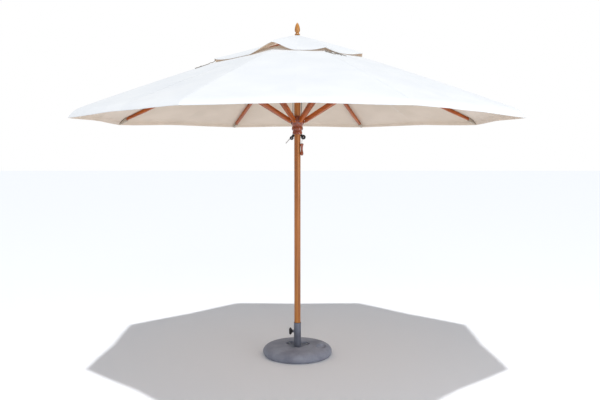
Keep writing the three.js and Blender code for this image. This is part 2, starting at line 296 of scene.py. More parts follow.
# ---- materials ----
def colour(code):
    """An sRGB hex value as linear red, green, blue and alpha."""
    channels = [int(code[k:k + 2], 16) / 255 for k in (0, 2, 4)]
    return [c / 12.92 if c < 0.04045 else ((c + 0.055) / 1.055) ** 2.4 for c in channels] + [1.0]


def add(tree, kind, settings=None, **links):
    """Adds a shader node, sets its values, and links its inputs by name or index."""
    made = tree.nodes.new(kind)
    for key, value in (settings or {}).items():
        if isinstance(key, str) and hasattr(made, key):
            setattr(made, key, value)
        else:
            made.inputs[key].default_value = value
    for key, source in links.items():
        name = key.replace("_", " ")
        tree.links.new(source, made.inputs[int(key[1:]) if key[0] == "i" and key[1:].isdigit() else name])
    return made


def started(name, **values):
    """A material with its Principled shader set to constant values."""
    material = bpy.data.materials.new(name)
    material.use_nodes = True
    shader = material.node_tree.nodes["Principled BSDF"]
    for key, value in values.items():
        shader.inputs[key.replace("_", " ")].default_value = value
    return material, material.node_tree, shader


def ramp(tree, factor, stops):
    """A colour ramp over (position, hex) stops."""
    made = add(tree, "ShaderNodeValToRGB")
    tree.links.new(factor, made.inputs["Fac"])
    elements = made.color_ramp.elements
    while len(elements) < len(stops):
        elements.new(0.5)
    for element, (place, code) in zip(elements, stops):
        element.position = place
        element.color = colour(code)
    return made.outputs["Color"]


def finish_with(tree, shader, base=None, roughness=None, height=None, distance=0.0005, strength=0.5):
    """Links colour, roughness and a bump made from a height to the shader."""
    if base:
        tree.links.new(base, shader.inputs["Base Color"])
    if roughness:
        tree.links.new(roughness, shader.inputs["Roughness"])
    if height:
        bump = add(tree, "ShaderNodeBump", {"Strength": strength, "Distance": distance}, Height=height)
        tree.links.new(bump.outputs["Normal"], shader.inputs["Normal"])


def uv_place(tree, layer):
    return add(tree, "ShaderNodeUVMap", {"uv_map": layer}).outputs["UV"]


def object_place(tree):
    return add(tree, "ShaderNodeTexCoord").outputs["Object"]


def noise_value(tree, place, stretch=None, scale=1.0, detail=2.0, **more):
    """The value of a noise texture, stretched by a mapping where one is given."""
    if stretch:
        place = add(tree, "ShaderNodeMapping", {"Scale": stretch}, Vector=place).outputs["Vector"]
    settings = {"Scale": scale, "Detail": detail, **more}
    return add(tree, "ShaderNodeTexNoise", settings, Vector=place).outputs["Fac"]


def weighted_sum(tree, value, weight, rest):
    settings = {"operation": "MULTIPLY_ADD", 1: weight}
    return add(tree, "ShaderNodeMath", settings, i0=value, i2=rest).outputs["Value"]


def between(tree, value, low, high):
    """Maps a value from 0 to 1 on to the range from low to high."""
    return add(tree, "ShaderNodeMapRange", {"To Min": low, "To Max": high}, Value=value).outputs["Result"]


def varnished_wood(name, dark, middle, light, ring_width=14 * MM, roughness=0.42, coat=0.16):
    """Varnished hardwood: long grain lines and fine pores along the piece, under a clear coat."""
    material, tree, shader = started(name, Coat_Weight=coat, Coat_Roughness=0.18, IOR=1.5)
    place = uv_place(tree, "grain")
    grain = noise_value(tree, place, (1.1, 1 / ring_width, 1), detail=6.0, Roughness=0.62, Distortion=0.6)
    pores = noise_value(tree, place, (14, 900, 1))
    patches = noise_value(tree, place, (2.3, 9, 1), detail=1.0)
    both = weighted_sum(tree, pores, 0.25, grain)
    toned = weighted_sum(tree, patches, 0.35, both)
    base = ramp(tree, toned, [(0.55, dark), (0.78, middle), (1.0, light)])
    rough = between(tree, grain, roughness - 0.07, roughness + 0.10)
    finish_with(tree, shader, base, rough, both, 0.0004, 0.35)
    return material


def woven_canvas(name, base_code, shade_code, weave=3 * MM, daylight=0.0):
    """Plain woven canvas. Real threads lie 0.5 mm apart; they are drawn 3 mm apart so that they show.

    daylight is an emission that stands in for the light that comes through the cloth.
    """
    material, tree, shader = started(name, IOR=1.45, Sheen_Weight=0.25, Sheen_Roughness=0.5)
    place = uv_place(tree, "cloth")
    split = add(tree, "ShaderNodeSeparateXYZ", Vector=place)
    threads = []
    for axis in ("X", "Y"):
        phase = add(tree, "ShaderNodeMath", {"operation": "MULTIPLY", 1: 2 * math.pi / weave},
                    i0=split.outputs[axis])
        threads.append(add(tree, "ShaderNodeMath", {"operation": "SINE"}, i0=phase.outputs["Value"]))
    cross = add(tree, "ShaderNodeMath", {"operation": "MULTIPLY"},
                i0=threads[0].outputs["Value"], i1=threads[1].outputs["Value"])
    slub = noise_value(tree, place, (220, 30, 1), detail=3.0)
    soft = noise_value(tree, place, scale=3.2, detail=4.0, Roughness=0.5)
    base = ramp(tree, soft, [(0.30, shade_code), (0.62, base_code)])
    tree.links.new(base, shader.inputs["Emission Color"])
    shader.inputs["Emission Strength"].default_value = daylight
    height = weighted_sum(tree, cross.outputs["Value"], 0.35, slub)
    finish_with(tree, shader, base, between(tree, slub, 0.78, 0.92), height, 0.0003, 0.35)
    return material


def thread(name, code):
    """Twisted cord: the strands are in the mesh, and the yarn's fuzz in the bump."""
    material, tree, shader = started(name, IOR=1.45, Sheen_Weight=0.3)
    fuzz = noise_value(tree, object_place(tree), scale=900.0, detail=3.0)
    darker = "".join(f"{int(int(code[k:k + 2], 16) * 0.78):02x}" for k in (0, 2, 4))
    base = ramp(tree, fuzz, [(0.35, darker), (0.65, code)])
    finish_with(tree, shader, base, between(tree, fuzz, 0.75, 0.95), fuzz, 0.0003, 0.5)
    return material


def speckled(name, dark, light, roughness, grain=2.5 * MM, depth=0.0006, **values):
    """A cast or coated finish: fine orange peel, with lighter and darker specks of one grain size."""
    material, tree, shader = started(name, **values)
    place = object_place(tree)
    fine = noise_value(tree, place, scale=1 / grain, detail=4.0)
    cloudy = noise_value(tree, place, scale=9.0, detail=3.0)
    mixed = weighted_sum(tree, fine, 0.5, cloudy)
    base = ramp(tree, mixed, [(0.55, dark), (0.95, light)])
    finish_with(tree, shader, base, between(tree, mixed, roughness - 0.08, roughness + 0.1), fine, depth, 0.4)
    return material


def brushed(name, dark, light, roughness=0.32):
    """Zinc plated steel: metallic, with fine streaks and a slightly mottled plating."""
    material, tree, shader = started(name, Metallic=1.0)
    streak = noise_value(tree, object_place(tree), (900, 900, 60))
    base = ramp(tree, streak, [(0.3, dark), (0.7, light)])
    rough = between(tree, streak, roughness - 0.08, roughness + 0.12)
    finish_with(tree, shader, base, rough, streak, 0.0001, 0.25)
    return material


POLE_WOOD = varnished_wood("varnished_pole_hardwood", "80440f", "aa6424", "c47f35")
RIB_WOOD = varnished_wood("varnished_rib_hardwood", "682c08", "a24c12", "c0661e", ring_width=9 * MM,
                          roughness=0.46, coat=0.08)
TURNED_WOOD = varnished_wood("dark_turned_hardwood", "471806", "7c300c", "a84c1a", ring_width=11 * MM,
                             roughness=0.26, coat=0.7)
FINIAL_WOOD = varnished_wood("golden_turned_hardwood", "7d4717", "b97830", "dd9f52", ring_width=10 * MM,
                             roughness=0.3, coat=0.5)
CANVAS = woven_canvas("white_canvas_outside", "e6e8ea", "dfe2e6")
# The underside canvas is the outside canvas made darker and warmer: painted shade with a painted warm bounce
# light under the canopy.
CANVAS_UNDER_PAINTED_SHADE = woven_canvas("white_canvas_underside_painted_shade", "dccbb8", "d0bfab")
# The cap's underside canvas is darker and tan, which is painted shade, and its emission is a painted glow for
# daylight through the cloth.
CAP_UNDER_PAINTED_SHADE_AND_GLOW = woven_canvas("white_canvas_cap_underside_painted_shade_and_glow", "cdb9a4", "c2ae99", daylight=0.42)
# The corner pockets are white canvas coloured grey-brown: painted shade under the canopy's corners.
POCKET_PAINTED_SHADE = woven_canvas("white_canvas_pocket_painted_shade", "b3a694", "9c8f7e", weave=2.4 * MM)
CAST_BASE = speckled("painted_cast_stone", "787b89", "989cab", 0.55, depth=0.0008)
TUBE_PAINT = speckled("grey_powder_coat", "5c5f6c", "787c8a", 0.38, grain=1.6 * MM, depth=0.0003,
                      Metallic=0.3)
BLACK_PLASTIC = speckled("black_moulded_nylon", "101011", "1f1f21", 0.42, grain=1.2 * MM, depth=0.0003)
ZINC = brushed("zinc_plated_steel", "9a9a9e", "c8c8cc")
BLACK_ROPE = thread("black_braided_cord", "26242a")
WHITE_ROPE = thread("white_braided_cord", "e9e7e1")
STRING = thread("natural_cotton_string", "93877a")


# ---- the cloth's shape ----
# How far each corner pocket hangs under the line of its rib, in metres.
CORNER_DROOP = {1: 0.019, 2: 0.038, 3: 0.030, 4: 0.014, 5: 0.014, 6: 0.030, 7: 0.038, 8: 0.019}
# How far the middle of each bay's hem is lifted by the cloth's tension. Bay 8 is the front one.
BAY_LIFT = {1: 0.010, 2: 0.009, 3: 0.010, 4: 0.012, 5: 0.010, 6: 0.009, 7: 0.010, 8: 0.015}
# The vent cap's corners: how far out each one ends, and how far it stands off the canopy.
CAP_CORNER_REACH = {1: 0.515, 2: 0.520, 3: 0.560, 4: 0.580, 5: 0.580, 6: 0.590, 7: 0.655, 8: 0.465}
CAP_CORNER_LIFT = {1: 0.026, 2: 0.026, 3: 0.028, 4: 0.022, 5: 0.030, 6: 0.026, 7: 0.028, 8: 0.050}
# How suddenly the hem rises to a corner: 1 is a gentle wave, less is a narrow peak.
CAP_CORNER_SPREAD = {1: 0.45, 2: 0.60, 3: 0.7, 4: 0.8, 5: 0.7, 6: 0.7, 7: 0.34, 8: 0.78}
CAP_EDGE_PULL = 0.018


def neighbour(number, share):
    """The rib on the other side of the bay that a point with this share lies in."""
    return number % 8 + 1 if share > 0 else (number - 2) % 8 + 1


def bay(number, share):
    return number if share > 0 else (number - 2) % 8 + 1


def smooth_share(share):
    """Runs from 0 over a rib to 1 in mid bay, level at both ends."""
    return math.sin(abs(share) * math.pi / 2) ** 2


def corner_value(table, number, share):
    """A corner's value over its rib, and the mean of two corners in the middle of their bay."""
    own, other = table[number], table[neighbour(number, share)]
    return own + (other - own) * 0.5 * smooth_share(share)


def cloth_height(reach, droop=0.033):
    """The cloth's height over a rib: a light bow, then a droop in the corner pocket."""
    droop_start = 1.580
    dropped = max(0.0, (reach - droop_start) / (CORNER_REACH - droop_start)) ** 3
    return APEX_HEIGHT - 0.322 * reach - 0.022 * reach * reach - droop * dropped


def half_width(reach):
    """Half the length of the straight hoop between two bay middles at a reach."""
    return reach * math.cos(HALF_BAY) * math.sin(HALF_BAY)


def hoop_point(reach, share, pull):
    """A point of the straight hoop between two ribs, pulled in towards the pole in mid bay."""
    mid_x = (reach - pull) * math.cos(HALF_BAY) ** 2
    return reach + (mid_x - reach) * abs(share), math.copysign(mid_x * math.tan(HALF_BAY) * abs(share), share)


def ripple(place, size, depth):
    """Slight unevenness of stretched cloth, the same on both sides of every seam."""
    return depth * noise.noise(Vector((place.x / size, place.y / size, 0.0)))


def canopy_point(number, along, share, above=0.0):
    """A point on a canopy gore. Along runs from the vent to the hem; share is 0 over the rib."""
    reach = VENT_REACH + (CORNER_REACH - VENT_REACH) * along
    hem = max(0.0, along) ** 6
    smooth = smooth_share(share)
    x, y = hoop_point(reach, share, 0.024 * hem * smooth)
    ridge_flat = 0.003 * (1 - min(1.0, abs(y) / 0.03)) ** 2
    sag = 0.008 * math.sin(math.pi * min(1.0, along * 0.9)) * smooth
    height = cloth_height(reach, corner_value(CORNER_DROOP, number, share))
    z = height + BAY_LIFT[bay(number, share)] * hem * smooth - sag - ridge_flat * 0.3 + above
    place = arm_turn(number) @ Vector((x, y, z))
    pull_lines = 0.0016 * math.sin(26 * share) * math.sin(math.pi * min(1.0, along)) * smooth * along
    place.z += ripple(place, 0.34, 0.0036 * smooth) + ripple(place, 0.12, 0.0014 * smooth) + pull_lines
    return place


def cap_point(number, along, share, start=0.0, end=CAP_REACH):
    """A point on the vent cap: it stands off the canopy over a rib and rests on it in mid bay."""
    nominal = start + (end - start) * along
    through = nominal / CAP_REACH
    stretch = corner_value(CAP_CORNER_REACH, number, share) / CAP_REACH
    reach = nominal * (1 + (stretch - 1) * through * through)
    smooth = smooth_share(share)
    lift = CAP_CORNER_LIFT[number]
    corner_reach = CAP_CORNER_REACH[number]
    corner_height = cloth_height(corner_reach) + 0.004 + lift
    ridge = CAP_APEX_HEIGHT + (corner_height - CAP_APEX_HEIGHT) * through
    ridge += 0.2 * lift * max(0.0, through - 0.75) * (1 if lift > 0.04 else -1)
    x, y = hoop_point(reach, share, CAP_EDGE_PULL * through ** 3 * smooth)
    beneath = cloth_height(x + abs(y) * math.tan(HALF_BAY))
    valley = beneath + (CAP_APEX_HEIGHT - APEX_HEIGHT) * (1 - through) + 2.2 * CLOTH
    spread = 1 + (CAP_CORNER_SPREAD[number] - 1) * through
    z = ridge + (valley - ridge) * smooth ** spread
    place = arm_turn(number) @ Vector((x, y, z))
    place.z += ripple(place, 0.13, 0.0024 * smooth * through)
    return place


SEAM_HALF_WIDTH = 6.5 * MM
HEM_WIDTH = 24 * MM
HEM_FOLD = 1.2 * MM
# The cloth beside a rib, out to this far, is a band; the rest, out to the middle of the bay, is a pleat
# piece.
CANOPY_BAND = 0.100
CAP_BAND = 0.050
PLEAT_STEPS = 12
SIDES = (("right", 1), ("left", -1))


def band_columns(side, band):
    """Columns from a rib out to its band's edge, as (side, metres, share of the rest)."""
    steps = [0.0, SEAM_HALF_WIDTH, 0.014] + [0.014 + (band - 0.014) * k / 5 for k in range(1, 6)]
    return [(side, step, 0.0) for step in steps][::side]


def pleat_columns(side, band, count):
    """Columns from a band's edge to the middle of the bay."""
    return [(side, band, k / count) for k in range(count + 1)][::side]


def column_share(column, half):
    """A column's signed share of a row, where half is half the row's width."""
    side, offset, share = column
    offset = min(offset, half)
    return side * min(1.0, (offset + (half - offset) * share) / half)


def cloth_piece(name, point_at, rows, columns, reach_at, length, body, node, hem=0.0, under=CANVAS_UNDER_PAINTED_SHADE):
    """A closed thin sheet over a grid, with a folded hem, and lengths in metres as its UV map."""
    shape = bmesh.new()
    layer = shape.loops.layers.uv.new("cloth")
    halves = [half_width(reach_at(a)) for a in rows]
    shares = [[column_share(column, half) for column in columns] for half in halves]

    def fold(a):
        return hem if (1 - a) * length <= HEM_WIDTH else 0.0

    up = Vector((0, 0, 1))
    tops = [[shape.verts.new(point_at(a, s)) for s in line] for a, line in zip(rows, shares)]
    unders = [[shape.verts.new(v.co - up * (CLOTH + fold(a))) for v in line] for a, line in zip(rows, tops)]
    count = len(columns)

    def quad(corners, spots, slot, smooth=True):
        face = shape.faces.new(corners)
        face.material_index = slot
        face.smooth = smooth
        for loop, (row, column) in zip(face.loops, spots):
            loop[layer].uv = (shares[row][column] * halves[row], length * (1 - rows[row]))

    for r in range(len(rows) - 1):
        for c in range(count - 1):
            spots = [(r, c), (r + 1, c), (r + 1, c + 1), (r, c + 1)]
            quad([tops[a][b] for a, b in spots], spots, 0)
            # The underside faces take the second material, an underside canvas that carries painted shade.
            quad([unders[a][b] for a, b in spots[::-1]], spots[::-1], 1)
    last = len(rows) - 1
    border = [(0, c) for c in range(count)] + [(r, count - 1) for r in range(1, last)]
    border += [(last, c) for c in range(count - 1, -1, -1)] + [(r, 0) for r in range(last - 1, 0, -1)]
    for here, there in zip(border, border[1:] + border[:1]):
        corners = [tops[here[0]][here[1]], tops[there[0]][there[1]],
                   unders[there[0]][there[1]], unders[here[0]][here[1]]]
        quad(corners, [here, there, there, here], 0, False)
        shape.edges.get((corners[0], corners[1])).smooth = False
        shape.edges.get((corners[2], corners[3])).smooth = False
    return finished(name, as_mesh(shape, name), [CANVAS, under], body, node)


def with_hem_rows(rows, length):
    """Adds the rows at the hem's fold to the rows from 0 to 1."""
    folds = [1 - (HEM_WIDTH + 0.8 * MM) / length, 1 - HEM_WIDTH / length]
    return sorted([a for a in rows if min(abs(a - fold) for fold in folds) > 0.004] + folds)


def fold_line(point_at, side):
    """A middle point of the cloth's ridge over a rib, and the way across the cloth from it."""
    start, far, bay_middle = point_at(0.0, 0.0), point_at(0.85, 0.0), point_at(0.85, side)
    along = (far - start).normalized()
    across = bay_middle - start
    across -= along * across.dot(along)
    return point_at(0.5, 0.0), across.normalized()


def half_gores(name, number, point_at, rows, reach_at, length, band, node, under):
    """The four pieces of a gore: on each side of its rib a band beside the rib, and a pleat piece out to the
    middle of the bay.
    """
    widest = half_width(reach_at(1.0)) - band
    narrowest = max(0.0, half_width(reach_at(0.0)) - band)
    body, fold = f"rib_{number}", f"rib_fold_{number}"
    for side_name, side in SIDES:
        ridge, across = fold_line(point_at, side)
        title = f"{name}_{number}_{side_name}"
        strip = cloth_piece(f"{title}_band", point_at, rows, band_columns(side, band),
                            reach_at, length, body, node, HEM_FOLD, under)
        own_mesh(strip)
        pleat = cloth_piece(f"{title}_pleat", point_at, rows, pleat_columns(side, band, PLEAT_STEPS),
                            reach_at, length, body, node, HEM_FOLD, under)
        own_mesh(pleat)


CANOPY_LENGTH = math.hypot(CORNER_REACH - VENT_REACH, cloth_height(VENT_REACH) - cloth_height(CORNER_REACH))


def make_canopy():
    """One gore on each rib, with a felled seam over the rib; its pieces ride on the rib."""
    rows = with_hem_rows([math.sin(k / 40 * math.pi / 2) for k in range(41)], CANOPY_LENGTH)
    fine = 3.5 * MM
    seam_steps = [(-1, SEAM_HALF_WIDTH, 0), (-1, fine, 0), (1, 0.0, 0), (1, fine, 0), (1, SEAM_HALF_WIDTH, 0)]

    def reach_at(a):
        return VENT_REACH + (CORNER_REACH - VENT_REACH) * a

    for number in ARMS:
        node = f"canopy_gore_{number}"
        body = f"rib_{number}"
        half_gores("canopy_cloth", number, lambda a, s: canopy_point(number, a, s), rows, reach_at,
                   CANOPY_LENGTH, CANOPY_BAND, node, CANVAS_UNDER_PAINTED_SHADE)
        cloth_piece(f"felled_seam_{number}", lambda a, s: canopy_point(number, a, s, 0.9 * MM), rows,
                    seam_steps, reach_at, CANOPY_LENGTH, body, node)


def make_cap():
    """The vent cap: a crown that bends over the hub's edge, and a skirt in pieces that ride on the ribs."""
    crown_start = 0.008
    crown_rows = [k / 12 for k in range(13)]
    crown_columns = pleat_columns(-1, 0.0, PLEAT_STEPS) + pleat_columns(1, 0.0, PLEAT_STEPS)[1:]
    skirt_top = CROWN_REACH - 0.012
    skirt_length = CAP_REACH - skirt_top
    skirt_rows = with_hem_rows([k / 18 for k in range(19)], skirt_length)
    for number in ARMS:
        node = f"cap_gore_{number}"
        crown = cloth_piece(f"cap_crown_cloth_{number}",
                            lambda a, s: cap_point(number, a, s, crown_start, CROWN_REACH),
                            crown_rows, crown_columns,
                            lambda a: crown_start + (CROWN_REACH - crown_start) * a, CROWN_REACH, None, node)
        crown.data.transform(Matrix.Translation((0, 0, 1.2 * MM)))
        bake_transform(crown)
        half_gores("cap_skirt", number, lambda a, s: cap_point(number, a, s, skirt_top, CAP_REACH),
                   skirt_rows, lambda a: skirt_top + skirt_length * a, skirt_length, CAP_BAND, node,
                   CAP_UNDER_PAINTED_SHADE_AND_GLOW)


def surface_point(number, reach, side, above):
    """A point over a canopy gore, from a reach along its rib, a distance to the side, and a height."""
    along = (reach - VENT_REACH) / (CORNER_REACH - VENT_REACH)
    return canopy_point(number, along, side / half_width(reach), above)


def tie_string(name, number, route, radius=2.4 * MM):
    """A tie string along (reach, side, height above the cloth) points. It rides on its rib."""
    points = [surface_point(number, *spot) for spot in route]
    string = laid_cord(smooth_path(points, 8), radius, around=8)
    piece = finished(name, to_mesh(string, "string", 80), [STRING], f"rib_{number}", None)
    ridge, across = fold_line(lambda a, s: canopy_point(number, a, s), 1)
    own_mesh(piece)


def make_tie_strings():
    """Strings that hold the cap's corners: a loose bow in front, and a run with a loop on the left."""
    bow = [(0.508, 0.006, 0.012), (0.530, 0.018, 0.006), (0.552, 0.030, 0.004), (0.540, 0.048, 0.006),
           (0.512, 0.046, 0.010), (0.520, 0.066, 0.006), (0.556, 0.070, 0.005), (0.582, 0.082, 0.004),
           (0.570, 0.100, 0.006), (0.534, 0.096, 0.008), (0.530, 0.116, 0.005), (0.560, 0.128, 0.005),
           (0.590, 0.134, 0.004), (0.600, 0.152, 0.004)]
    tie_string("cap_bow_string", 1, bow)
    tail = [(0.512, 0.000, 0.010), (0.540, -0.006, 0.005), (0.570, 0.006, 0.004), (0.602, 0.026, 0.004),
            (0.596, 0.052, 0.006), (0.570, 0.060, 0.008), (0.590, 0.082, 0.010), (0.618, 0.096, 0.004)]
    tie_string("cap_bow_tail", 1, tail)
    run = [(0.640, 0.000, 0.030), (0.652, 0.004, 0.014), (0.668, -0.004, 0.006), (0.684, 0.004, 0.008),
           (0.702, -0.006, 0.005), (0.722, 0.002, 0.004), (0.746, -0.004, 0.004), (0.764, 0.008, 0.004),
           (0.786, 0.012, 0.004), (0.798, 0.000, 0.004), (0.788, -0.012, 0.004), (0.768, -0.008, 0.005),
           (0.752, 0.002, 0.007)]
    tie_string("cap_left_string", 7, run)


def pouch(number):
    """A small cloth pocket under a corner, sewn on to hold the end of its rib."""
    shape = bmesh.new()
    loops = []
    for reach, half, depth in ((1.588, 15, 31), (1.592, 15.5, 31.5), (1.620, 14, 29), (1.645, 12, 24),
                               (1.660, 9, 15), (1.668, 5, 6)):
        top = cloth_height(reach, CORNER_DROOP[number]) - 2.4 * MM
        ring_verts = []
        for turn in full_turn(16):
            across, down = math.cos(turn), math.sin(turn)
            y = math.copysign(abs(across) ** 0.6, across) * half * MM
            z = top - depth * MM / 2 + math.copysign(abs(down) ** 0.6, down) * depth * MM / 2
            ring_verts.append(shape.verts.new((reach, y, z - abs(y) * 0.10)))
        loops.append(ring_verts)
    skinned(shape, loops)
    shape.faces.new(loops[0])
    shape.faces.new(loops[-1])
    shape.transform(arm_turn(number))
    return shape


def make_pouches():
    for number in ARMS:
        # The pockets' grey-brown colour is painted shade.
        finished(f"corner_pocket_{number}", to_mesh(pouch(number), "pouch", 50), [POCKET_PAINTED_SHADE],
                 f"rib_{number}", None)


# ---- wooden frame ----
def rib_middle(reach):
    return cloth_height(reach) - CLOTH - RIB_DROP - RIB_HALF_DEPTH


def rib_outline(number):
    """A bowed rib with a round hub end. Its tip is thinner and goes into the corner pocket."""
    pivot_reach = Vector(JOINTS["rib_fold_1"]["pos_m"]).xy.length
    slope = math.atan(0.325)
    outline = []
    for k in range(13):
        turn = math.pi / 2 - slope + math.pi * k / 12
        outline.append((pivot_reach + RIB_HALF_DEPTH * math.cos(turn),
                        rib_middle(pivot_reach) + RIB_HALF_DEPTH * math.sin(turn)))
    stations = [pivot_reach + (RIB_END - pivot_reach) * k / 32 for k in range(1, 33)]
    straight = {reach: cloth_height(reach, 0.0) - CLOTH - RIB_DROP for reach in stations}
    for reach in stations:
        outline.append((reach, straight[reach] - 2 * RIB_HALF_DEPTH + max(0.0, reach - 1.4) * 0.045))
    for reach in stations[::-1]:
        droop = cloth_height(reach, 0.0) - cloth_height(reach, CORNER_DROOP[number])
        outline.append((reach, straight[reach] - droop))
    return outline


def make_arms():
    """Ribs and struts, with eased edges and the grain running along them."""
    fold = JOINTS["strut_fold_1"]["pos_m"]
    head = (Vector(fold).xy.length, fold[2])
    for number in ARMS:
        rib = prism(rib_outline(number), RIB_HALF_WIDTH, 2.2 * MM, grain_start=3.1 * number)
        rib.transform(arm_turn(number))
        finished(f"rib_timber_{number}", to_mesh(rib, "rib"), [RIB_WOOD], f"rib_{number}",
                 f"rib_{number}")
        strut = prism(capsule(STRUT_FOOT, head, 16 * MM), 11 * MM, 2.2 * MM, grain_start=5.3 * number)
        strut.transform(arm_turn(number))
        finished(f"strut_timber_{number}", to_mesh(strut, "strut"), [RIB_WOOD], f"strut_{number}",
                 f"strut_{number}")


def slot_tools(radius, bottom, top, width=23 * MM):
    """Blocks that cut eight open slots in a turned hub."""
    reach = 0.04
    tools = []
    for number in ARMS:
        tool = block((reach, width, top - bottom), (radius + reach / 2, 0, (top + bottom) / 2))
        tool.transform(arm_turn(number))
        tools.append(tool)
    return tools


def make_hubs():
    bore = 24.8 * MM
    hub_profile = [(bore, 2.388), (0.034, 2.388), (0.036, 2.396), (0.050, 2.400), (0.058, 2.406),
                   (0.060, 2.416), (0.060, 2.440), (0.057, 2.450), (0.045, 2.455), (bore, 2.457)]
    hub = carved(ring(hub_profile, 96, grain_start=7.0), slot_tools(0.0364, 2.380, 2.470))
    finished("top_hub_turning", to_mesh(hub, "hub", 30), [TURNED_WOOD], "mast", "top_hub")
    bore = 25.2 * MM
    runner_profile = [(bore, 1.728), (0.036, 1.728), (0.0375, 1.731), (0.0375, 1.748), (0.035, 1.752),
                      (0.035, 1.757), (0.041, 1.760), (0.0430, 1.764), (0.0435, 1.768), (0.0435, 1.779),
                      (0.0425, 1.783), (0.041, 1.786), (0.0395, 1.790), (0.0410, 1.7935), (0.0435, 1.797),
                      (0.047, 1.804), (0.050, 1.812), (0.0525, 1.820), (0.0535, 1.828), (0.0535, 1.846),
                      (0.0528, 1.852), (0.051, 1.858), (0.046, 1.865), (0.040, 1.869), (bore, 1.869)]
    runner = carved(ring(runner_profile, 96, grain_start=9.0), slot_tools(0.0454, 1.790, 1.880))
    finished("runner_turning", to_mesh(runner, "runner", 30), [TURNED_WOOD], "runner", "runner")


def make_pole():
    radius = 24.5 * MM
    low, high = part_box("pole")
    profile = [(0, low.z), (radius, low.z)]
    profile += [(radius, low.z + (high.z - low.z) * k / 40) for k in range(1, 40)]
    profile += [(radius, high.z), (0, high.z)]
    hole = rod(5 * MM, (-0.04, 0, ROPE_CROSSING), (0.04, 0, ROPE_CROSSING), 24)
    pole = carved(lathed(profile, 96), [hole])
    finished("pole_timber", to_mesh(pole, "pole"), [POLE_WOOD], "mast", "pole")


def make_finial():
    outline = [(0, 2.4703), (0.006, 2.4703), (0.006, 2.4840), (0.0205, 2.4840), (0.021, 2.4855),
               (0.021, 2.4885), (0.0195, 2.4905), (0.0160, 2.4935), (0.0130, 2.4970), (0.0122, 2.4995),
               (0.0130, 2.5025), (0.0150, 2.5050), (0.0170, 2.5075), (0.0190, 2.5110), (0.0203, 2.5150),
               (0.0207, 2.5200), (0.0205, 2.5250), (0.0196, 2.5330), (0.0182, 2.5410), (0.0162, 2.5490),
               (0.0138, 2.5565), (0.0108, 2.5635), (0.0078, 2.5695), (0.0052, 2.5738), (0.0026, 2.5770),
               (0, 2.5780)]
    finial = lathed(outline, 72, grain_start=1.0)
    finished("finial_turning", to_mesh(finial, "finial"), [FINIAL_WOOD], "mast", "finial")


# ---- base ----
def dome_profile():
    """A flattened dome that tucks in under its widest line to a narrower foot."""
    widest, waist, top, foot = 0.271, 0.033, 0.083, 0.250
    profile = [(0, 0), (foot, 0), (0.2575, 0.0045), (0.2630, 0.0110), (0.2672, 0.0180), (0.2700, 0.0255)]
    steps = 30
    for k in range(steps + 1):
        radius = widest * math.cos(k / steps * math.pi / 2) ** 0.4
        fullness = (1 - (radius / widest) ** 8) ** (1 / 1.75)
        profile.append((0 if k == steps else radius, waist + (top - waist) * fullness))
    return profile


def flange_outline(clearance):
    """A triangle with cut corners, as (x, y) pairs."""
    reach = 0.097 + clearance
    half = (0.028 + clearance) / reach
    turns = [middle + side * half for middle in BOLT_TURNS for side in (-1, 1)]
    return [(reach * math.cos(turn), reach * math.sin(turn)) for turn in turns]


def plate(outline, bottom, top, bevel=0.0):
    """A flat plate from an (x, y) outline."""
    shape = bmesh.new()
    low = [shape.verts.new((x, y, bottom)) for x, y in outline]
    high = [shape.verts.new((x, y, top)) for x, y in outline]
    shape.faces.new(low[::-1])
    lid = shape.faces.new(high)
    skinned(shape, [low, high])
    bmesh.ops.recalc_face_normals(shape, faces=shape.faces)
    if bevel:
        bmesh.ops.bevel(shape, geom=list(lid.edges), offset=bevel, segments=2, profile=0.5, affect="EDGES")
    return shape


def ball(place, radii, rows=24):
    """An ellipsoid bmesh."""
    shape = bmesh.new()
    bmesh.ops.create_uvsphere(shape, u_segments=2 * rows, v_segments=rows, radius=1)
    shape.transform(place @ Matrix.Diagonal((*radii, 1)))
    return shape


BOLT_TURNS = [math.radians(degrees) for degrees in (22, 142, 262)]
BOLT_PLACES = [(0.080 * math.cos(turn), 0.080 * math.sin(turn)) for turn in BOLT_TURNS]


def make_base():
    holds = []
    for turn in (-0.26, 2.87):
        out = Matrix.Rotation(turn, 4, "Z") @ Matrix.Translation((0.193, 0, 0))
        holds.append(ball(out @ Matrix.Translation((0, 0, 0.0960)), (0.042, 0.066, 0.040)))
        finger = Matrix.Translation((0.014, -0.016, 0.062)) @ out
        holds.append(ball(finger, (0.013, 0.021, 0.024)))
    pocket = plate(flange_outline(4 * MM), 0.066, 0.110)
    sockets = [rod(4.4 * MM, (x, y, 0.04), (x, y, 0.09), 24) for x, y in BOLT_PLACES]
    dome = carved(lathed(dome_profile(), 160), [pocket, *sockets, *holds])
    finished("base_casting", to_mesh(dome, "dome", 32), [CAST_BASE], "base", "base_shell")


